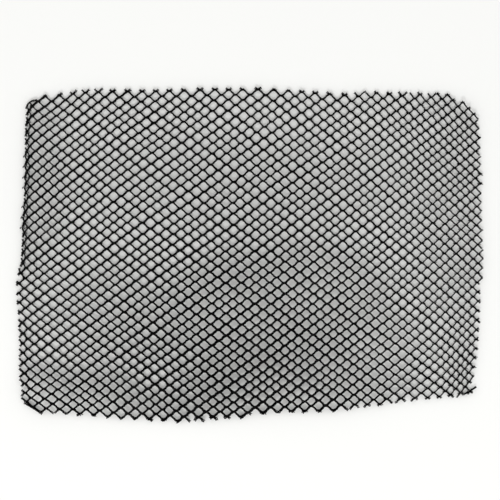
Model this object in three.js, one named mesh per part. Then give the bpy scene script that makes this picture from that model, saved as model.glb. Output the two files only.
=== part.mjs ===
// A cut length of open-mesh mosquito screen netting, lying loose on a flat surface.
// Millimetres, +Z up. The origin is on the surface, under the middle of the cut length.
// The solid is the net's outer form: its cut outline, its low folds and its thickness over
// the knots. The openings of the mesh are about 2 mm wide, so they are not cut through it.
import * as THREE from 'three';

const SHEET_THICKNESS = 1.1;
const CELLS_ACROSS = 44;
const CELLS_DEEP = 32;

const NET_COLOUR = 0x141516;
const NET_ROUGHNESS = 0.62;

// The cut edges between the four corners, where each one wanders off a straight cut.
const CORNERS = {
  lowerLeft: { x: -51.9, y: -36.6 },
  lowerRight: { x: 53.7, y: -33.0 },
  upperRight: { x: 52.5, y: 35.6 },
  upperLeft: { x: -51.8, y: 36.4 },
};
const LEFT_EDGE = [
  { x: -53.7, y: -34.2 },
  { x: -54.0, y: -20.0 },
  { x: -55.2, y: -6.6 },
  { x: -53.4, y: 4.8 },
  { x: -53.0, y: 20.0 },
  { x: -52.5, y: 34.4 },
];
const RIGHT_EDGE = [
  { x: 53.9, y: -29.6 },
  { x: 54.6, y: -18.0 },
  { x: 55.3, y: 4.0 },
  { x: 55.2, y: 28.0 },
  { x: 54.2, y: 34.0 },
];
const LOWER_EDGE = [
  { x: -49.4, y: -37.9 },
  { x: -30.0, y: -38.8 },
  { x: -15.0, y: -39.6 },
  { x: 8.0, y: -37.0 },
  { x: 21.0, y: -37.2 },
  { x: 36.0, y: -35.4 },
  { x: 50.0, y: -33.9 },
];
const UPPER_EDGE = [
  { x: -48.2, y: 37.9 },
  { x: -38.0, y: 39.1 },
  { x: -20.0, y: 38.9 },
  { x: 4.0, y: 39.5 },
  { x: 16.0, y: 38.3 },
  { x: 38.0, y: 38.3 },
  { x: 49.0, y: 37.2 },
];

// Each low fold is a soft oval swell. It lifts the net by rise at its middle and by nothing
// at its rim. Along the back edge, at the point of the left edge and round the lower right
// corner no fold reaches, so there the underside lies flat on the surface.
const FOLDS = [
  { place: 'middle', x: 5, y: -16, turn: 0, halfLength: 34, halfWidth: 24, rise: 1.2 },
  { place: 'left of middle', x: -9, y: -14, turn: 0, halfLength: 13, halfWidth: 11, rise: 0.4 },
  { place: 'right of middle', x: 21, y: -8, turn: -12, halfLength: 18, halfWidth: 13, rise: 0.7 },
  { place: 'front', x: 10, y: -37, turn: 0, halfLength: 40, halfWidth: 15, rise: 1.3 },
  { place: 'front right', x: 29, y: -23, turn: 10, halfLength: 17, halfWidth: 11, rise: 0.9 },
  { place: 'front left', x: -39, y: -38, turn: -6, halfLength: 26, halfWidth: 14, rise: 1.1 },
  { place: 'lower left corner', x: -54, y: -36, turn: 0, halfLength: 12, halfWidth: 12, rise: 1.3 },
  { place: 'left', x: -32, y: -14, turn: 0, halfLength: 22, halfWidth: 20, rise: 0.35 },
  { place: 'left ridge', x: -50, y: 16, turn: 90, halfLength: 26, halfWidth: 9, rise: 0.55 },
  { place: 'back', x: 0, y: 17, turn: 0, halfLength: 56, halfWidth: 18, rise: 0.32 },
  { place: 'right side', x: 48, y: 2, turn: 90, halfLength: 32, halfWidth: 14, rise: 0.25 },
  { place: 'upper right corner', x: 56, y: 39, turn: 0, halfLength: 9, halfWidth: 9, rise: 1.6 },
];

function asVector(point) {
  return new THREE.Vector2(point.x, point.y);
}

function edgeCurve(start, rows, end) {
  return new THREE.SplineCurve([start, ...rows, end].map(asVector));
}

const lowerCurve = edgeCurve(CORNERS.lowerLeft, LOWER_EDGE, CORNERS.lowerRight);
const upperCurve = edgeCurve(CORNERS.upperLeft, UPPER_EDGE, CORNERS.upperRight);
const leftCurve = edgeCurve(CORNERS.lowerLeft, LEFT_EDGE, CORNERS.upperLeft);
const rightCurve = edgeCurve(CORNERS.lowerRight, RIGHT_EDGE, CORNERS.upperRight);

// The place in the cut outline at a share across and a share up, spread evenly between the
// four edges: the mean of the two edge pairs, less the straight-sided patch they share.
function placeInOutline(across, up) {
  const lower = asVector(CORNERS.lowerLeft).lerp(asVector(CORNERS.lowerRight), across);
  const upper = asVector(CORNERS.upperLeft).lerp(asVector(CORNERS.upperRight), across);
  const straight = lower.lerp(upper, up);
  const between = lowerCurve.getPointAt(across).lerp(upperCurve.getPointAt(across), up);
  const beside = leftCurve.getPointAt(up).lerp(rightCurve.getPointAt(up), across);
  return between.add(beside).sub(straight);
}

function liftOfFold(fold, x, y) {
  const turn = THREE.MathUtils.degToRad(fold.turn);
  const along = (x - fold.x) * Math.cos(turn) + (y - fold.y) * Math.sin(turn);
  const aside = (y - fold.y) * Math.cos(turn) - (x - fold.x) * Math.sin(turn);
  const reach = Math.min(1, Math.hypot(along / fold.halfLength, aside / fold.halfWidth));
  return fold.rise * (1 - reach * reach) ** 2;
}

function lift(x, y) {
  return FOLDS.reduce((height, fold) => height + liftOfFold(fold, x, y), 0);
}

// The underside's grid of vertices and then the upper side's, one thickness above it.
function sheetVertices() {
  const positions = [];
  for (const height of [0, SHEET_THICKNESS]) {
    for (let row = 0; row <= CELLS_DEEP; row += 1) {
      for (let column = 0; column <= CELLS_ACROSS; column += 1) {
        const place = placeInOutline(column / CELLS_ACROSS, row / CELLS_DEEP);
        positions.push(place.x, place.y, lift(place.x, place.y) + height);
      }
    }
  }
  return positions;
}

// Two triangles for each grid cell, above and below, facing out.
function faceTriangles(under, over) {
  const triangles = [];
  for (let row = 0; row < CELLS_DEEP; row += 1) {
    for (let column = 0; column < CELLS_ACROSS; column += 1) {
      const corners = [[column, row], [column + 1, row], [column + 1, row + 1], [column, row + 1]];
      const [a, b, c, d] = corners.map(([atColumn, atRow]) => over(atColumn, atRow));
      const [e, f, g, h] = corners.map(([atColumn, atRow]) => under(atColumn, atRow));
      triangles.push(a, b, c, a, c, d);
      triangles.push(e, g, f, e, h, g);
    }
  }
  return triangles;
}

// The grid places round the outline, anticlockwise seen from above.
function outlinePlaces() {
  const places = [];
  for (let column = 0; column < CELLS_ACROSS; column += 1) {
    places.push([column, 0]);
  }
  for (let row = 0; row < CELLS_DEEP; row += 1) {
    places.push([CELLS_ACROSS, row]);
  }
  for (let column = CELLS_ACROSS; column > 0; column -= 1) {
    places.push([column, CELLS_DEEP]);
  }
  for (let row = CELLS_DEEP; row > 0; row -= 1) {
    places.push([0, row]);
  }
  return places;
}

// The cut edge, which joins the underside to the upper side all the way round.
function cutEdgeTriangles(under, over) {
  const places = outlinePlaces();
  return places.flatMap((here, step) => {
    const next = places[(step + 1) % places.length];
    const lowHere = under(...here);
    const lowNext = under(...next);
    const highHere = over(...here);
    const highNext = over(...next);
    return [lowHere, lowNext, highNext, lowHere, highNext, highHere];
  });
}

function nettingGeometry() {
  const columns = CELLS_ACROSS + 1;
  const verticesOnASide = columns * (CELLS_DEEP + 1);
  const under = (column, row) => row * columns + column;
  const over = (column, row) => verticesOnASide + under(column, row);
  const geometry = new THREE.BufferGeometry();
  geometry.setAttribute('position', new THREE.Float32BufferAttribute(sheetVertices(), 3));
  geometry.setIndex([...faceTriangles(under, over), ...cutEdgeTriangles(under, over)]);
  geometry.computeBoundingBox();
  const middle = geometry.boundingBox.getCenter(new THREE.Vector3());
  geometry.translate(-middle.x, -middle.y, 0);
  geometry.computeVertexNormals();
  return geometry;
}

const netMaterial = new THREE.MeshStandardMaterial({
  color: NET_COLOUR,
  roughness: NET_ROUGHNESS,
  metalness: 0,
});

const netting = new THREE.Mesh(nettingGeometry(), netMaterial);
netting.name = 'netting';

const group = new THREE.Group();
group.add(netting);

export default group;
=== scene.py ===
import math

import bpy
import numpy as np
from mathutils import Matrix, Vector
from mathutils.bvhtree import BVHTree


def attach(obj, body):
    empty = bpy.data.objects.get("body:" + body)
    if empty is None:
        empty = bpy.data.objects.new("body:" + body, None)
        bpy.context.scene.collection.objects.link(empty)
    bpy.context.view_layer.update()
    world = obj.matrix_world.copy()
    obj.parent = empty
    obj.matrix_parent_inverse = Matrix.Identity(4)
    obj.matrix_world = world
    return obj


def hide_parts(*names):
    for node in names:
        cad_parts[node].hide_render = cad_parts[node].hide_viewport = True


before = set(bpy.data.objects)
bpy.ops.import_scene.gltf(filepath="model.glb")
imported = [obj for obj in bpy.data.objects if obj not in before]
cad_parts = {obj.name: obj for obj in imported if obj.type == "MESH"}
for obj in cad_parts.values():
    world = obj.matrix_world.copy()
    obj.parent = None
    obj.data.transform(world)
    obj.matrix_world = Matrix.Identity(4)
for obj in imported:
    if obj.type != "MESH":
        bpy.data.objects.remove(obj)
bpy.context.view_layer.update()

# A cut length of black mosquito screen netting that lies loose on a pale surface. Two sets of
# twisted yarns run corner to corner, one falling to the right and one rising, and a small
# stitch binds them wherever they cross. All sizes are in metres.
MM = 0.001

# The mesh is counted in half holes from the middle of the net, across to the right and down
# to the front. Yarns of one set are one hole apart along the other set.
HALF_HOLE_ACROSS = 1.77 * MM
HALF_HOLE_DOWN = 1.266 * MM
HALF_HOLES_TO_SIDE = 36
HALF_HOLES_TO_END = 34

# Towards its cut sides the net draws in, and it was laid down a little askew.
SIDES_DRAW_IN = 5.7 * MM
RIGHT_SIDE_DRAWS_IN = 2.2 * MM
END_COLUMNS_DRAW_IN = 2.0 * MM
END_COLUMNS_BOW = 0.9 * MM
ROWS_CLOSE_AT_SIDES = 4.2 * MM
ROWS_FAN_TO_LEFT = 1.0 * MM
ROWS_FALL_TO_RIGHT = 0.8 * MM
ROWS_BOW = 0.6 * MM
ROWS_CLOSE_AT_ENDS = 0.6 * MM
MIDDLE_HOLE = (-0.1 * MM, 1.0 * MM)

# Here and there the net is tugged a little out of that shape: where, how far round the tug
# reaches, and how far the middle of it is shifted, in mm.
TUGS = (
    {"x": 25, "y": 30, "reach": 24, "shift_x": 0.35, "shift_y": -0.1},
    {"x": -28, "y": 16, "reach": 18, "shift_x": -0.4, "shift_y": 0.0},
    {"x": -33, "y": -21, "reach": 20, "shift_x": 0.5, "shift_y": 0.2},
    {"x": 24, "y": -28, "reach": 24, "shift_x": -0.75, "shift_y": 0.2},
    {"x": 54, "y": -34, "reach": 15, "shift_x": 0.5, "shift_y": 0.0},
    {"x": 44, "y": -33, "reach": 24, "shift_x": 0.0, "shift_y": -0.6},
    {"x": -52, "y": -31, "reach": 18, "shift_x": 0.0, "shift_y": -0.4},
    {"x": 6, "y": -38, "reach": 18, "shift_x": -0.5, "shift_y": 0.0},
    {"x": 50, "y": 15, "reach": 18, "shift_x": -0.4, "shift_y": 0.0},
    {"x": -53, "y": 19, "reach": 12, "shift_x": 0.6, "shift_y": 0.0},
    {"x": -53, "y": -6, "reach": 13, "shift_x": -0.35, "shift_y": 0.0},
    {"x": -53, "y": 9, "reach": 11, "shift_x": 0.45, "shift_y": 0.0},
    {"x": 44, "y": -25, "reach": 16, "shift_x": 0.5, "shift_y": 0.0},
    {"x": 56, "y": -28, "reach": 12, "shift_x": -1.05, "shift_y": 0.15},
    {"x": 56, "y": 37, "reach": 10, "shift_x": -0.35, "shift_y": 0.0},
    {"x": -54, "y": 0, "reach": 8, "shift_x": 0.4, "shift_y": 0.0},
    {"x": -54, "y": -30, "reach": 10, "shift_x": -0.35, "shift_y": 0.0},
    {"x": -43, "y": -39, "reach": 13, "shift_x": 0.0, "shift_y": 0.35},
    {"x": -47, "y": 38, "reach": 8, "shift_x": 0.0, "shift_y": -0.35},
    {"x": -10, "y": -38, "reach": 14, "shift_x": -0.35, "shift_y": 0.1},
    {"x": -22, "y": 38, "reach": 14, "shift_x": 0.0, "shift_y": -0.35},
    {"x": 5, "y": 37, "reach": 12, "shift_x": 0.2, "shift_y": 0.35},
    {"x": 45, "y": 20, "reach": 16, "shift_x": 0.1, "shift_y": -0.25},
    {"x": 50, "y": 35, "reach": 20, "shift_x": -0.2, "shift_y": -0.8},
    {"x": -8, "y": 7, "reach": 18, "shift_x": 0.0, "shift_y": -0.3},
    {"x": -28, "y": -32, "reach": 16, "shift_x": 0.0, "shift_y": 0.4},
    {"x": -40, "y": 31, "reach": 16, "shift_x": 0.0, "shift_y": -0.25},
)

# Of every five yarns two neighbours are heavier and stand a little further apart.
YARNS_IN_REPEAT = 5
HEAVY_YARNS = (0, 1)
HEAVY_YARN_FULLNESS = 1.17
YARN_DRIFT = 0.07

# How thick the yarns of a set are, as a share of the usual thickness: at the middle of the
# net, then what that gains on the way to the front, on that way squared, to the right, to the
# front right, to either side, and to a side at the front. Near the sides the change levels off.
FULLNESS_OF_FALLING = {
    "middle": 0.975,
    "front": 0.13,
    "front_squared": 0.045,
    "right": -0.02,
    "front_right": -0.1,
    "side": -0.49,
    "front_side": 0.0,
}
FULLNESS_OF_RISING = {
    "middle": 1.11,
    "front": 0.25,
    "front_squared": 0.0,
    "right": -0.18,
    "front_right": 0.0,
    "side": -0.7,
    "front_side": -0.85,
}
SIDE_LEVELS_OFF = 0.6
LEAST_FULLNESS = 0.6

# A yarn lies flatter as it nears a crossing, less so towards the sides of the net, and
# passes over and under by turns. Its middle line lies at the rest height above the solid's
# underside, and never lower than its own radius with a little to spare. Its cut ends rise.
STEPS_A_SIDE = 5
FLATTEN_AT_CROSSING = 0.62
FLATTEN_LOST_AT_SIDES = 0.95
CROSSING_RISE = 0.13 * MM
REST_HEIGHT = 0.56 * MM
FLOOR_CLEARANCE = 1.04
ENDS_RISE = 0.1 * MM

# A lifted place draws in by this share of its way from the middle, for a metre of lift.
LIFTED_NET_DRAWS_IN = 3.5

# A yarn is made of plies twisted round one another, each of which has a few flat sides.
PLIES = 3
PLY_SIDES = 4
PLY_RADIUS = 0.135 * MM
TWIST_RADIUS = 0.13 * MM
TURNS_A_SIDE = 1.0

# A stitch is a short coil of yarn laid over a crossing, along the row of crossings. Its
# heading is measured over a step along the row, in half holes, and is off by up to its tilt.
STITCH_TURNS = 2.4
STITCH_STEPS_A_TURN = 5
STITCH_SIDES = 4
STITCH_LENGTH = 1.2 * MM
STITCH_WIDTH = 0.24 * MM
STITCH_HEIGHT = 0.27 * MM
STITCH_YARN_RADIUS = 0.105 * MM
STITCH_TILT = 0.35
STITCH_HEADING_STEP = 0.5

# The size of a stitch: its least, and what is added for the fullness of its yarn.
STITCH_LEAST_SIZE = 0.45
STITCH_SIZE_BY_FULLNESS = 0.6

# The bands from the back to the front, each from one half row to another.
BANDS = {
    "net_back_band": (-HALF_HOLES_TO_END, -16),
    "net_upper_middle_band": (-16, 0),
    "net_lower_middle_band": (0, 16),
    "net_front_band": (16, HALF_HOLES_TO_END),
}

# The four cuts, in half holes: each follows the mesh and runs a little past a row of crossings.
BACK_CUT = (
    {"across": -33.2, "down": -27.4},
    {"across": -32.3, "down": -28.6},
    {"across": -31, "down": -29.4},
    {"across": -29.5, "down": -30.2},
    {"across": -24, "down": -30.8},
    {"across": -16, "down": -30.5},
    {"across": 12, "down": -30.3},
    {"across": 30, "down": -33.3},
    {"across": 31, "down": -32.7},
    {"across": 33.3, "down": -32.3},
    {"across": 35, "down": -31.2},
    {"across": 36, "down": -30.2},
)
FRONT_CUT = (
    {"across": -33, "down": 30.2},
    {"across": -30, "down": 33.2},
    {"across": -9, "down": 33.2},
    {"across": -2, "down": 32.3},
    {"across": 1, "down": 31.4},
    {"across": 5, "down": 31.1},
    {"across": 12, "down": 31.3},
    {"across": 16, "down": 30.8},
    {"across": 22, "down": 29.8},
    {"across": 28, "down": 29.5},
    {"across": 32, "down": 29.8},
    {"across": 36, "down": 29.5},
)
LEFT_CUT = (
    {"down": -29, "across": -32.9},
    {"down": 3, "across": -32.95},
    {"down": 5, "across": -32.6},
    {"down": 13, "across": -32.4},
    {"down": 15, "across": -32.85},
    {"down": 31, "across": -32.85},
)
RIGHT_CUT = (
    {"down": -31, "across": 35.4},
    {"down": -29, "across": 36.1},
    {"down": 5, "across": 36.1},
    {"down": 6, "across": 35.5},
    {"down": 20, "across": 35.5},
    {"down": 26, "across": 35.1},
    {"down": 28, "across": 34.6},
    {"down": 30, "across": 34.6},
)

# Each yarn ends up to this many half holes before or past the line of a cut.
CUT_UNEVENNESS = 0.12

# Over its last steps to a cut a yarn frays: its plies open out and thin.
FRAYED_STEPS = 3
FRAY_OPENS = 0.9
FRAY_THINS = 0.25

# A scrap of yarn with fewer points than this is left out.
FEWEST_POINTS = 3

# Along the left edge the last columns bunch up, as the net bends down there: all the way
# behind the point of the edge, and less in front of it.
LEFT_BEND_STARTS = -30.7
LEFT_BEND_COLUMNS = 3.3
LEFT_BEND_BUNCHES = 3.15 * MM
LEFT_BEND_STEEPENS = 1.45
LEFT_BEND = (
    {"down": -30, "share": 1.0},
    {"down": 3.5, "share": 1.0},
    {"down": 6, "share": 0.15},
    {"down": 13, "share": 0.15},
    {"down": 16, "share": 0.4},
    {"down": 22, "share": 0.25},
    {"down": 31, "share": 0.1},
)

# Along the front cut the lifted net drops over its last cell, and so it does along the left
# cut from this half row to the front. Further back the bend at the left takes it down.
EDGE_DROPS_OVER = 1.6
LEFT_EDGE_DROPS_FROM = 8

random = np.random.default_rng(seed=11)


class Value:
    """A number socket of a tree. Sums, products and the like of values add Math nodes."""

    def __init__(self, tree, socket):
        self.tree = tree
        self.socket = socket

    def worked(self, operation, *operands):
        made = self.tree.add("ShaderNodeMath", {"operation": operation}, dict(enumerate(operands)))
        return made.value()

    def __add__(self, other):
        return self.worked("ADD", self, other)

    def __radd__(self, other):
        return self.worked("ADD", other, self)

    def __rsub__(self, other):
        return self.worked("SUBTRACT", other, self)

    def __mul__(self, other):
        return self.worked("MULTIPLY", self, other)

    def __rmul__(self, other):
        return self.worked("MULTIPLY", other, self)

    def __truediv__(self, other):
        return self.worked("DIVIDE", self, other)

    def cosine(self):
        return self.worked("COSINE", self)

    def sine(self):
        return self.worked("SINE", self)


class Made:
    """A node that has been added. It gives its outputs by name or number."""

    def __init__(self, tree, node):
        self.tree = tree
        self.node = node

    def out(self, name=0):
        return self.node.outputs[name]

    def value(self, name=0):
        return Value(self.tree, self.node.outputs[name])


class Tree:
    """A node tree, to which nodes are added by type, settings and the values of their sockets."""

    def __init__(self, node_tree):
        self.node_tree = node_tree

    def add(self, kind, settings=None, sockets=None):
        node = self.node_tree.nodes.new(kind)
        for name, setting in (settings or {}).items():
            if name == "stops":
                set_stops(node.color_ramp, setting)
            else:
                setattr(node, name, setting)
        for name, given in (sockets or {}).items():
            self.give(node.inputs[name], given)
        return Made(self, node)

    def give(self, socket, given):
        if isinstance(given, Value):
            self.node_tree.links.new(given.socket, socket)
        elif isinstance(given, bpy.types.NodeSocket):
            self.node_tree.links.new(given, socket)
        else:
            socket.default_value = given

    def attribute(self, name, kind="FLOAT"):
        return self.add("GeometryNodeInputNamedAttribute", {"data_type": kind}, {"Name": name})

    def vector_math(self, operation, first, second):
        return self.add("ShaderNodeVectorMath", {"operation": operation}, {0: first, 1: second}).out()


def set_stops(ramp, stops):
    """Sets a colour ramp's stops from (place, grey) pairs."""
    for number, (place, grey) in enumerate(stops):
        stop = ramp.elements[number] if number < len(ramp.elements) else ramp.elements.new(place)
        stop.position = place
        stop.color = (grey, grey, grey, 1)


# --- The camera, straight above the net -----------------------------------------------------

VIEW_WIDTH = 119.0 * MM
VIEW_MIDDLE = (0.40 * MM, 1.16 * MM)
CAMERA_LENS = 85.0
CAMERA_SENSOR = 36.0

# The nearest and the farthest that the camera sees, as shares of its height.
CLIP_START = 0.01
CLIP_END = 100


def make_camera():
    data = bpy.data.cameras.new("camera")
    data.lens = CAMERA_LENS
    data.sensor_width = CAMERA_SENSOR
    camera = bpy.data.objects.new("camera", data)
    height = VIEW_WIDTH * CAMERA_LENS / CAMERA_SENSOR
    camera.location = (*VIEW_MIDDLE, height)
    data.clip_start = height * CLIP_START
    data.clip_end = height * CLIP_END
    bpy.context.scene.collection.objects.link(camera)
    bpy.context.scene.camera = camera


make_camera()


# --- Where the yarns lie --------------------------------------------------------------------


def read_row(table, at, known, wanted):
    """The wanted column of a table, between its rows, where the known column is at a value."""
    return np.interp(at, [row[known] for row in table], [row[wanted] for row in table])


def left_bend(across):
    """How far into the bend along the left edge, from 0 where it starts to 1 past the cut."""
    return np.clip((LEFT_BEND_STARTS - across) / LEFT_BEND_COLUMNS, 0, 1)


def place_of(across, down):
    """The place on the surface, x and y, of a point counted in half holes from the middle."""
    u = across / HALF_HOLES_TO_SIDE
    w = down / HALF_HOLES_TO_SIDE
    x = MIDDLE_HOLE[0] + HALF_HOLE_ACROSS * across
    x = x - SIDES_DRAW_IN * u**3 - RIGHT_SIDE_DRAWS_IN * u**2
    x = x - END_COLUMNS_DRAW_IN * u * w**2 + END_COLUMNS_BOW * w**2
    share = read_row(LEFT_BEND, down, "down", "share")
    x = x + share * LEFT_BEND_BUNCHES * left_bend(across) ** LEFT_BEND_STEEPENS
    y = MIDDLE_HOLE[1] - HALF_HOLE_DOWN * down
    y = y + ROWS_CLOSE_AT_SIDES * w * u**2 + ROWS_FAN_TO_LEFT * u * w
    y = y - ROWS_FALL_TO_RIGHT * u + ROWS_BOW * w**2 + ROWS_CLOSE_AT_ENDS * w**3
    shift_x = shift_y = 0
    for tug in TUGS:
        near = np.hypot(x - tug["x"] * MM, y - tug["y"] * MM) / (tug["reach"] * MM)
        held = (1 - np.minimum(near, 1) ** 2) ** 2
        shift_x = shift_x + tug["shift_x"] * MM * held
        shift_y = shift_y + tug["shift_y"] * MM * held
    return x + shift_x, y + shift_y


def line_of(number):
    """Where yarn number lies among the yarns of its set, in holes."""
    repeat = 2 * np.pi * (number - 0.5) / YARNS_IN_REPEAT
    return number + 0.5 + YARN_DRIFT * np.sin(repeat)


# A place just outside the net's edge takes its lift from the first of these shares of its
# way from the middle that lies on the net.
INWARD_SHARES = np.linspace(1, 0.94, 13)


class Surface:
    """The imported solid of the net, which says how high the net is lifted."""

    def __init__(self, node):
        vertices = [v.co for v in node.data.vertices]
        faces = [p.vertices for p in node.data.polygons]
        self.tree = BVHTree.FromPolygons(vertices, faces)

    def lift(self, x, y):
        """The height of the underside. Just outside its edge it is as high as just inside."""
        for inward in INWARD_SHARES:
            hit = self.tree.ray_cast(Vector((x * inward, y * inward, -1.0)), Vector((0, 0, 1)))[0]
            if hit:
                return hit.z
        return 0.0


netting = Surface(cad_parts["netting"])


def yarn(falling, number):
    """One yarn of a set from end to end of the net, before it is cut: its points with what each
    of them carries. It crosses every yarn of the other set."""
    reach = HALF_HOLES_TO_SIDE + 1
    crossed = np.arange(-reach, reach)
    line = line_of(number)
    others = line_of(crossed)
    across = line + others
    down = others - line if falling else line - others
    rows = crossed - number if falling else number - crossed
    steps = np.arange(STEPS_A_SIDE) / STEPS_A_SIDE
    lean = across[:-1, None] / HALF_HOLES_TO_SIDE
    flatten = FLATTEN_AT_CROSSING * (1 - FLATTEN_LOST_AT_SIDES * np.clip(lean**2, 0, 1))
    eased = steps - flatten * np.sin(2 * np.pi * steps) / (2 * np.pi)
    over = np.where((crossed + number) % 2 == 0, 1.0, -1.0) * (1 if falling else -1)

    def between(values, shares):
        return (values[:-1, None] + np.diff(values)[:, None] * shares).ravel()

    count = len(crossed) - 1
    row_step = 0.5 if falling else -0.5
    return {
        "across": between(across, steps),
        "down": between(down, eased),
        "row": np.repeat(rows[:-1] + row_step, STEPS_A_SIDE),
        "level": (over[:-1, None] * np.cos(np.pi * steps)[None, :]).ravel(),
        "sides": (np.arange(count)[:, None] + steps[None, :]).ravel(),
        "crossing": np.tile(steps == 0, count),
    }


def fullness_of(falling, number, across, down):
    """How thick a yarn is for its kind: full at the front, drawn thin towards the sides."""
    row = FULLNESS_OF_FALLING if falling else FULLNESS_OF_RISING
    right = across / HALF_HOLES_TO_SIDE
    front = down / HALF_HOLES_TO_SIDE
    side = right**2 * (1 - SIDE_LEVELS_OFF * right**2)
    spread = row["middle"] + row["front"] * front + row["front_squared"] * front**2
    spread = spread + row["right"] * right + row["front_right"] * front * np.maximum(right, 0)
    spread = spread + (row["side"] + row["front_side"] * front) * side
    heavy = HEAVY_YARN_FULLNESS if number % YARNS_IN_REPEAT in HEAVY_YARNS else 1.0
    return heavy * np.maximum(spread, LEAST_FULLNESS)


def inside_cuts(across, down):
    """Whether each point of a yarn is left after the net is cut."""
    uneven = random.uniform(-CUT_UNEVENNESS, CUT_UNEVENNESS, 4)
    return (
        (down > read_row(BACK_CUT, across, "across", "down") + uneven[0])
        & (down < read_row(FRONT_CUT, across, "across", "down") + uneven[1])
        & (across > read_row(LEFT_CUT, down, "down", "across") + uneven[2])
        & (across < read_row(RIGHT_CUT, down, "down", "across") + uneven[3])
    )


def held_up(across, down):
    """The share of its lift that the net keeps, which falls to none at the edges that drop."""
    from_front = (read_row(FRONT_CUT, across, "across", "down") - down) / EDGE_DROPS_OVER
    from_left = (across - read_row(LEFT_CUT, down, "down", "across")) / EDGE_DROPS_OVER
    from_left = np.where(down > LEFT_EDGE_DROPS_FROM, from_left, 1 - left_bend(across))
    return np.clip(from_front, 0, 1) * np.clip(from_left, 0, 1)


def runs_inside(inside):
    """First and last point of each unbroken run."""
    edges = np.flatnonzero(np.diff(np.concatenate([[0], inside.astype(int), [0]])))
    return edges.reshape(-1, 2)


class Band:
    """The centre lines of the yarns in one band of the net, with what each point carries."""

    def __init__(self, name, rows):
        self.name = name
        self.rows = rows
        self.points = []
        self.edges = []
        self.carried = {key: [] for key in ("turn", "fullness", "fray", "strand", "knot", "heading")}
        self.strands = 0

    def take(self, points, **carried):
        first = len(self.points)
        self.points.extend(points)
        self.edges.extend((first + n, first + n + 1) for n in range(len(points) - 1))
        for key, values in carried.items():
            self.carried[key].extend(values)
        self.carried["strand"].extend([self.strands] * len(points))
        self.strands += 1


def lay_yarn(falling, number, bands):
    """Lays one yarn on the lifted net and shares what the cuts leave of it between the bands."""
    path = yarn(falling, number)
    x, y = place_of(path["across"], path["down"])
    ahead_x, ahead_y = place_of(path["across"] + STITCH_HEADING_STEP, path["down"])
    heading = np.arctan2(ahead_y - y, ahead_x - x)
    inside = inside_cuts(path["across"], path["down"])
    lift = np.array([netting.lift(px, py) if keep else 0.0 for px, py, keep in zip(x, y, inside)])
    lift = lift * held_up(path["across"], path["down"])
    x, y = x * (1 - LIFTED_NET_DRAWS_IN * lift), y * (1 - LIFTED_NET_DRAWS_IN * lift)
    z = lift + REST_HEIGHT + CROSSING_RISE * path["level"]
    turn = 2 * np.pi * (TURNS_A_SIDE * path["sides"] + random.uniform())
    fullness = fullness_of(falling, number, path["across"], path["down"])
    z = np.maximum(z, FLOOR_CLEARANCE * fullness * (PLY_RADIUS + TWIST_RADIUS))
    for start, stop in runs_inside(inside):
        if stop - start < FEWEST_POINTS:
            continue
        for band in bands:
            low, high = band.rows
            held = (path["row"][start:stop] > low) & (path["row"][start:stop] < high)
            for first, last in runs_inside(held):
                first, last = first + start, min(last + start + 1, stop)
                if last - first < FEWEST_POINTS:
                    continue
                span = slice(first, last)
                from_cut = np.minimum(np.arange(first, last) - start, stop - 1 - np.arange(first, last))
                fray = np.clip(1 - from_cut / FRAYED_STEPS, 0, 1)
                z[span] += ENDS_RISE * fray
                knot = path["crossing"][span] & falling
                knot[-1] = False
                band.take(
                    list(zip(x[span], y[span], z[span])),
                    turn=turn[span],
                    fullness=fullness[span],
                    fray=fray,
                    knot=knot,
                    heading=heading[span],
                )


# Single yarns at the corners, in mm, each bent on one curve: two ends that stick out at the
# front right, and the rolled edges at the front left and the back left.
CORNER_YARNS = (
    {"from": (51.1, -33.1), "by": (52.6, -32.4), "to": (54.1, -31.3), "fullness": 0.9},
    {"from": (52.7, -32.5), "by": (53.0, -32.6), "to": (53.2, -32.8), "fullness": 0.8},
    {"from": (-53.2, -35.1), "by": (-50.9, -36.4), "to": (-48.95, -37.75), "fullness": 1.0},
    {"from": (-52.7, 34.7), "by": (-52.4, 36.6), "to": (-50.4, 36.7), "fullness": 1.0},
)
CORNER_YARN_POINTS = 9
CORNER_YARN_TURNS = 2


def lay_corner_yarn(row, band):
    """Lays a loose yarn on the surface, frayed at both ends and with no stitches."""
    share = np.linspace(0, 1, CORNER_YARN_POINTS)
    start, bend, stop = (np.array(row[key]) * MM for key in ("from", "by", "to"))
    curve = [(1 - t) ** 2 * start + 2 * t * (1 - t) * bend + t**2 * stop for t in share]
    from_end = np.minimum(np.arange(CORNER_YARN_POINTS), np.arange(CORNER_YARN_POINTS)[::-1])
    band.take(
        [(x, y, REST_HEIGHT + CROSSING_RISE) for x, y in curve],
        turn=2 * np.pi * CORNER_YARN_TURNS * share,
        fullness=np.full(CORNER_YARN_POINTS, row["fullness"]),
        fray=np.clip(1 - from_end / FRAYED_STEPS, 0, 1),
        knot=np.zeros(CORNER_YARN_POINTS, bool),
        heading=np.zeros(CORNER_YARN_POINTS),
    )


bands = [Band(name, rows) for name, rows in BANDS.items()]
for falling in (True, False):
    for number in range(-HALF_HOLES_TO_SIDE, HALF_HOLES_TO_SIDE):
        lay_yarn(falling, number, bands)
for row in CORNER_YARNS:
    lay_corner_yarn(row, bands[0] if row["from"][1] > 0 else bands[-1])


# --- The yarn and the stitches, swept along those lines -------------------------------------


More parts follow.
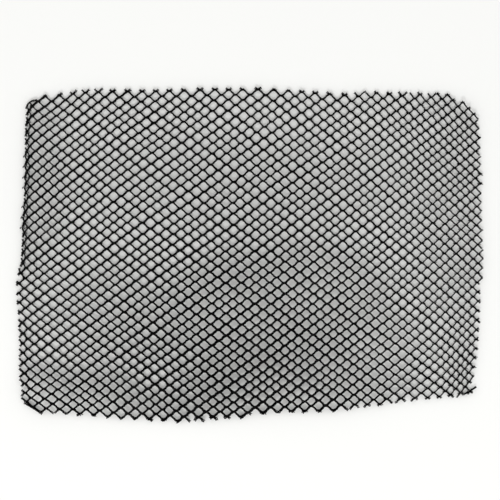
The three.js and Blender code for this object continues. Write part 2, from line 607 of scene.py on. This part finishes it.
def twisted_netting_tree():
    """Lays plies round each line and sweeps them, and puts a stitch at every knot."""
    group = bpy.data.node_groups.new("twisted netting", "GeometryNodeTree")
    face = group.interface
    face.new_socket("Lines", in_out="INPUT", socket_type="NodeSocketGeometry")
    for name, kind in (
        ("Plies", "NodeSocketInt"),
        ("Ply sides", "NodeSocketInt"),
        ("Ply radius", "NodeSocketFloat"),
        ("Twist radius", "NodeSocketFloat"),
        ("Stitch turns", "NodeSocketFloat"),
        ("Stitch steps a turn", "NodeSocketInt"),
        ("Stitch sides", "NodeSocketInt"),
        ("Stitch yarn radius", "NodeSocketFloat"),
        ("Stitch scale", "NodeSocketVector"),
        ("Seed", "NodeSocketInt"),
        ("Material", "NodeSocketMaterial"),
    ):
        face.new_socket(name, in_out="INPUT", socket_type=kind)
    face.new_socket("Netting", in_out="OUTPUT", socket_type="NodeSocketGeometry")
    tree = Tree(group)
    given = tree.add("NodeGroupInput")
    yarns = swept_plies(tree, given)
    stitches = placed_stitches(tree, given)
    both = tree.add("GeometryNodeJoinGeometry")
    for part in (stitches, yarns):
        group.links.new(part, both.node.inputs[0])
    smooth = tree.add("GeometryNodeSetShadeSmooth", None, {"Geometry": both.out()})
    real = tree.add("GeometryNodeRealizeInstances", None, {"Geometry": smooth.out()})
    worn = tree.add(
        "GeometryNodeSetMaterial", None, {"Geometry": real.out(), "Material": given.out("Material")}
    )
    tree.add("NodeGroupOutput", None, {"Netting": worn.out()})
    return group


def ring_profile(tree, sides, radius, mark):
    """A round section whose points carry their share of the way round."""
    circle = tree.add("GeometryNodeCurvePrimitiveCircle", None, {"Resolution": sides, "Radius": radius})
    share = tree.add("GeometryNodeInputIndex").value() / sides
    return tree.add(
        "GeometryNodeStoreNamedAttribute",
        {"data_type": "FLOAT", "domain": "POINT"},
        {"Geometry": circle.out(), "Name": mark, "Value": share},
    ).out()


def swept_plies(tree, given):
    """The plies of every yarn, which wind round its line and open out where it frays."""
    lines = tree.add("GeometryNodeMeshToCurve", None, {"Mesh": given.out("Lines")})
    measured = tree.add(
        "GeometryNodeStoreNamedAttribute",
        {"data_type": "FLOAT", "domain": "POINT"},
        {
            "Geometry": lines.out(),
            "Name": "along",
            "Value": tree.add("GeometryNodeSplineParameter").out("Factor"),
        },
    )
    plies = tree.add(
        "GeometryNodeDuplicateElements",
        {"domain": "SPLINE"},
        {"Geometry": measured.out(), "Amount": given.out("Plies")},
    )
    numbered = tree.add(
        "GeometryNodeStoreNamedAttribute",
        {"data_type": "FLOAT", "domain": "POINT"},
        {"Geometry": plies.out("Geometry"), "Name": "ply", "Value": plies.out("Duplicate Index")},
    )
    ply = tree.attribute("ply").value("Attribute")
    fullness = tree.attribute("fullness").value("Attribute")
    fray = tree.attribute("fray").value("Attribute")
    angle = tree.attribute("turn").value("Attribute") + 2 * math.pi * ply / given.value("Plies")
    opened = given.value("Twist radius") * fullness * (1 + FRAY_OPENS * fray)
    tangent = tree.add("GeometryNodeInputTangent").out()
    side = tree.vector_math("CROSS_PRODUCT", tangent, (0, 0, 1))
    side = tree.add("ShaderNodeVectorMath", {"operation": "NORMALIZE"}, {0: side}).out()
    above = tree.vector_math("CROSS_PRODUCT", side, tangent)
    aside = scaled(tree, side, opened * angle.cosine())
    upward = scaled(tree, above, opened * angle.sine())
    twisted = tree.add(
        "GeometryNodeSetPosition",
        None,
        {"Geometry": numbered.out(), "Offset": tree.vector_math("ADD", aside, upward)},
    )
    section = ring_profile(tree, given.value("Ply sides"), given.out("Ply radius"), "ring")
    return tree.add(
        "GeometryNodeCurveToMesh",
        None,
        {
            "Curve": twisted.out(),
            "Profile Curve": section,
            "Scale": fullness * (1 - FRAY_THINS * fray),
            "Fill Caps": True,
        },
    ).out()


def scaled(tree, vector, amount):
    return tree.add(
        "ShaderNodeVectorMath", {"operation": "SCALE"}, {"Vector": vector, "Scale": amount}
    ).out()


def placed_stitches(tree, given):
    """One small coil of yarn on each crossing, laid along the row of crossings."""
    coil = tree.add(
        "GeometryNodeCurveSpiral",
        None,
        {
            "Resolution": given.out("Stitch steps a turn"),
            "Rotations": given.out("Stitch turns"),
            "Start Radius": 1.0,
            "End Radius": 1.0,
            "Height": 1.0,
        },
    )
    marked = tree.add(
        "GeometryNodeStoreNamedAttribute",
        {"data_type": "FLOAT", "domain": "POINT"},
        {
            "Geometry": coil.out(),
            "Name": "along",
            "Value": tree.add("GeometryNodeSplineParameter").out("Factor"),
        },
    )
    middled = tree.add(
        "GeometryNodeTransform", None, {"Geometry": marked.out(), "Translation": (0, 0, -0.5)}
    )
    lying = tree.add(
        "GeometryNodeTransform", None, {"Geometry": middled.out(), "Rotation": (0, math.pi / 2, 0)}
    )
    sized = tree.add(
        "GeometryNodeTransform", None, {"Geometry": lying.out(), "Scale": given.out("Stitch scale")}
    )
    section = ring_profile(tree, given.value("Stitch sides"), given.out("Stitch yarn radius"), "ring")
    loop = tree.add(
        "GeometryNodeCurveToMesh",
        None,
        {"Curve": sized.out(), "Profile Curve": section, "Scale": 1.0, "Fill Caps": True},
    )
    tilt = tree.add(
        "FunctionNodeRandomValue",
        {"data_type": "FLOAT"},
        {2: -STITCH_TILT, 3: STITCH_TILT, "Seed": given.out("Seed")},
    ).value(1)
    turned = tree.add(
        "ShaderNodeCombineXYZ", None, {"Z": tree.attribute("heading").value("Attribute") + tilt}
    )
    rotation = tree.add("FunctionNodeEulerToRotation", None, {"Euler": turned.out()})
    knot = tree.attribute("knot", "BOOLEAN").out("Attribute")
    fullness = tree.attribute("fullness").value("Attribute")
    counted = tree.add(
        "GeometryNodeStoreNamedAttribute",
        {"data_type": "FLOAT", "domain": "POINT"},
        {
            "Geometry": given.out("Lines"),
            "Name": "stitch",
            "Value": tree.add("GeometryNodeInputIndex").value() + 1,
        },
    )
    return tree.add(
        "GeometryNodeInstanceOnPoints",
        None,
        {
            "Points": counted.out(),
            "Selection": knot,
            "Instance": loop.out(),
            "Rotation": rotation.out(),
            "Scale": STITCH_LEAST_SIZE + STITCH_SIZE_BY_FULLNESS * fullness,
        },
    ).out()


# --- The yarn's finish ----------------------------------------------------------------------


PATCHES_TO_A_METRE = 90.0
FIBRES_TO_A_METRE = 5200.0
FIBRES_SHARE = 0.55
FIBRE_HEIGHT = 0.02 * MM
FIBRE_RELIEF = 0.5

# How grey the yarn is at three places on its shade: matt black, then a shade greyer at random, up to
# pale fibres that are painted highlight, glints where fibres catch the light.
YARN_GREYS_AND_PAINTED_GLINTS = ((0.4, 0.0004), (0.52, 0.0024), (0.64, 0.012))
YARN_ROUGHNESS = 0.6
FIBRES_ROUGHEN = 0.25
YARN_SHEEN = 0.035


def noise(tree, place, scale, detail):
    """Uneven grey from 0 to 1 over a place, about as many patches to a metre as its scale."""
    return tree.add(
        "ShaderNodeTexNoise", None, {"Vector": place, "Scale": scale, "Detail": detail}
    ).value("Fac")


def black_yarn():
    """Matt black polyester yarn, a shade greyer here and there, with pale fibres painted in as glints
    and a faint sheen.
    """
    material = bpy.data.materials.new("black_yarn")
    material.use_nodes = True
    material.node_tree.nodes.clear()
    tree = Tree(material.node_tree)
    place = tree.add("ShaderNodeTexCoord").out("Object")
    patches = noise(tree, place, PATCHES_TO_A_METRE, detail=3.0)
    fibres = noise(tree, place, FIBRES_TO_A_METRE, detail=2.0)
    # The coarse noise in this mix is tone that differs at random; the fine noise paints pale glints on
    # the fibres, a painted highlight.
    shade = (1 - FIBRES_SHARE) * patches + FIBRES_SHARE * fibres
    colour = tree.add("ShaderNodeValToRGB", {"stops": YARN_GREYS_AND_PAINTED_GLINTS}, {"Fac": shade})
    bump = tree.add(
        "ShaderNodeBump",
        None,
        {"Height": fibres, "Strength": FIBRE_RELIEF, "Distance": FIBRE_HEIGHT},
    )
    shader = tree.add(
        "ShaderNodeBsdfPrincipled",
        None,
        {
            "Base Color": colour.out(),
            "Roughness": YARN_ROUGHNESS + FIBRES_ROUGHEN * fibres,
            "Normal": bump.out(),
            "Specular IOR Level": YARN_SHEEN,
        },
    )
    tree.add("ShaderNodeOutputMaterial", None, {"Surface": shader.out()})
    return material


yarn_finish = black_yarn()
netting_tree = twisted_netting_tree()

NETTING_SIZES = {
    "Plies": PLIES,
    "Ply sides": PLY_SIDES,
    "Ply radius": PLY_RADIUS,
    "Twist radius": TWIST_RADIUS,
    "Stitch turns": STITCH_TURNS,
    "Stitch steps a turn": STITCH_STEPS_A_TURN,
    "Stitch sides": STITCH_SIDES,
    "Stitch yarn radius": STITCH_YARN_RADIUS,
    "Stitch scale": (STITCH_LENGTH, STITCH_WIDTH, STITCH_HEIGHT),
    "Seed": 5,
    "Material": yarn_finish,
}


# --- The bake map: strips of yarn below, a cell for each stitch above -----------------------

STRIP_COLUMNS = 3
STITCH_COLUMNS = 50
YARN_SHARE_OF_MAP = 0.78
CELL_MARGIN_ALONG = 0.04
CELL_MARGIN_ROUND = 0.1

# An end cap lies just past the end of its strip, as a small oval.
CAP_PAST_END = 0.02
CAP_HALF_LENGTH = 0.012
CAP_HALF_HEIGHT = 0.3
SHORTER_THAN_ANY_STEP = 1e-6


def in_cells(numbers, columns, along, round_ply):
    """Places in a grid of cells, one cell for each different number."""
    _, cell = np.unique(numbers, return_inverse=True)
    rows = cell.max() // columns + 1
    u = (cell % columns + CELL_MARGIN_ALONG + (1 - 2 * CELL_MARGIN_ALONG) * along) / columns
    v = (cell // columns + CELL_MARGIN_ROUND + (1 - 2 * CELL_MARGIN_ROUND) * round_ply) / rows
    return u, v


def unwrap_yarns(mesh):
    """Gives every ply its own strip of the bake map and every stitch its own small cell."""
    carried = {}
    for name in ("along", "ring", "ply", "strand", "stitch"):
        values = np.zeros(len(mesh.vertices), np.float32)
        mesh.attributes[name].data.foreach_get("value", values)
        carried[name] = values
    corners = np.zeros(len(mesh.loops), np.int32)
    mesh.loops.foreach_get("vertex_index", corners)
    first = np.zeros(len(mesh.polygons), np.int32)
    mesh.polygons.foreach_get("loop_start", first)
    face = np.repeat(np.arange(len(first)), np.diff(np.append(first, len(corners))))
    along, ring = carried["along"][corners], carried["ring"][corners]
    # Round a ply the ring runs from 0 to just under 1. On the face that closes it, 0 is 1.
    highest_ring = np.maximum.reduceat(ring, first)[face]
    closes = (highest_ring > 0.6) & (ring < 0.2)
    round_ply = np.where(closes, 1.0, ring)
    length = (np.maximum.reduceat(along, first) - np.minimum.reduceat(along, first))[face]
    angle = 2 * np.pi * ring
    cap = length < SHORTER_THAN_ANY_STEP
    cap_middle = np.where(along < 0.5, -CAP_PAST_END, 1 + CAP_PAST_END)
    round_ply = np.where(cap, 0.5 + CAP_HALF_HEIGHT * np.sin(angle), round_ply)
    along = np.where(cap, cap_middle + CAP_HALF_LENGTH * np.cos(angle), along)
    stitch = carried["stitch"][corners]
    strip = carried["strand"][corners] * PLIES + carried["ply"][corners]
    uv = np.zeros((len(corners), 2), np.float32)
    yarn_corners, stitch_corners = stitch < 0.5, stitch > 0.5
    for chosen, numbers, columns, low, high in (
        (yarn_corners, strip, STRIP_COLUMNS, 0.0, YARN_SHARE_OF_MAP),
        (stitch_corners, stitch, STITCH_COLUMNS, YARN_SHARE_OF_MAP, 1.0),
    ):
        u, v = in_cells(numbers[chosen], columns, along[chosen], round_ply[chosen])
        uv[chosen] = np.stack([u, low + (high - low) * v], 1)
    layer = mesh.uv_layers.new(name="OFBake")
    layer.uv.foreach_set("vector", uv.ravel())


def mesh_of_lines(band):
    """A band's centre lines as a mesh of edges, with what its points carry as attributes."""
    mesh = bpy.data.meshes.new(band.name + "_lines")
    mesh.from_pydata(band.points, band.edges, [])
    for name, values in band.carried.items():
        kind = "BOOLEAN" if name == "knot" else "FLOAT"
        attribute = mesh.attributes.new(name, kind, "POINT")
        attribute.data.foreach_set("value", np.array(values, bool if name == "knot" else np.float32))
    return mesh


def make_band(band):
    """One piece of the net, with the yarns and stitches of a band as a plain mesh."""
    lines = bpy.data.objects.new(band.name + "_lines", mesh_of_lines(band))
    bpy.context.scene.collection.objects.link(lines)
    modifier = lines.modifiers.new("netting", "NODES")
    modifier.node_group = netting_tree
    for item in netting_tree.interface.items_tree:
        if item.in_out == "INPUT" and item.name in NETTING_SIZES:
            modifier[item.identifier] = NETTING_SIZES[item.name]
    depsgraph = bpy.context.evaluated_depsgraph_get()
    mesh = bpy.data.meshes.new_from_object(lines.evaluated_get(depsgraph))
    mesh.name = band.name
    unwrap_yarns(mesh)
    bpy.data.objects.remove(lines)
    piece = bpy.data.objects.new(band.name, mesh)
    bpy.context.scene.collection.objects.link(piece)
    return piece


# Each band becomes a piece hung on the root, and the imported solid is hidden; the depth of each band
# from back to front is worked out but not kept.
for band in bands:
    piece = make_band(band)
    low, high = band.rows
    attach(piece, "root")
    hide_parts("netting")
    (high - low) * HALF_HOLE_DOWN


# --- The floor and the light ----------------------------------------------------------------

FLOOR_SIZE = 3.0
FLOOR_COLOUR = (0.86, 0.862, 0.845, 1)
FLOOR_ROUGHNESS = 0.9
FLOOR_SHEEN = 0.1


def make_floor():
    half = FLOOR_SIZE / 2
    mesh = bpy.data.meshes.new("floor")
    corners = [(-half, -half, 0), (half, -half, 0), (half, half, 0), (-half, half, 0)]
    mesh.from_pydata(corners, [], [(0, 1, 2, 3)])
    material = bpy.data.materials.new("pale_floor")
    material.use_nodes = True
    shader = material.node_tree.nodes["Principled BSDF"]
    shader.inputs["Base Color"].default_value = FLOOR_COLOUR
    shader.inputs["Roughness"].default_value = FLOOR_ROUGHNESS
    shader.inputs["Specular IOR Level"].default_value = FLOOR_SHEEN
    mesh.materials.append(material)
    floor = bpy.data.objects.new("floor", mesh)
    bpy.context.scene.collection.objects.link(floor)


SKY_STRENGTH = 0.97
KEY_HEADING = math.radians(-100)
KEY_ELEVATION = math.radians(48)
KEY_DISTANCE = 0.6
KEY_SIZE = 0.08
KEY_POWER = 0.85


def make_lights():
    world = bpy.data.worlds.new("studio")
    world.use_nodes = True
    background = world.node_tree.nodes["Background"]
    background.inputs["Color"].default_value = (1, 1, 1, 1)
    background.inputs["Strength"].default_value = SKY_STRENGTH
    bpy.context.scene.world = world
    data = bpy.data.lights.new("window", "AREA")
    data.shape = "DISK"
    data.size = KEY_SIZE
    data.energy = KEY_POWER
    key = bpy.data.objects.new("window", data)
    away = Vector(
        (
            math.cos(KEY_HEADING) * math.cos(KEY_ELEVATION),
            math.sin(KEY_HEADING) * math.cos(KEY_ELEVATION),
            math.sin(KEY_ELEVATION),
        )
    )
    key.location = away * KEY_DISTANCE
    key.rotation_mode = "QUATERNION"
    key.rotation_quaternion = away.to_track_quat("Z", "Y")
    bpy.context.scene.collection.objects.link(key)


make_floor()
make_lights()
bpy.context.scene.view_settings.view_transform = "Standard"
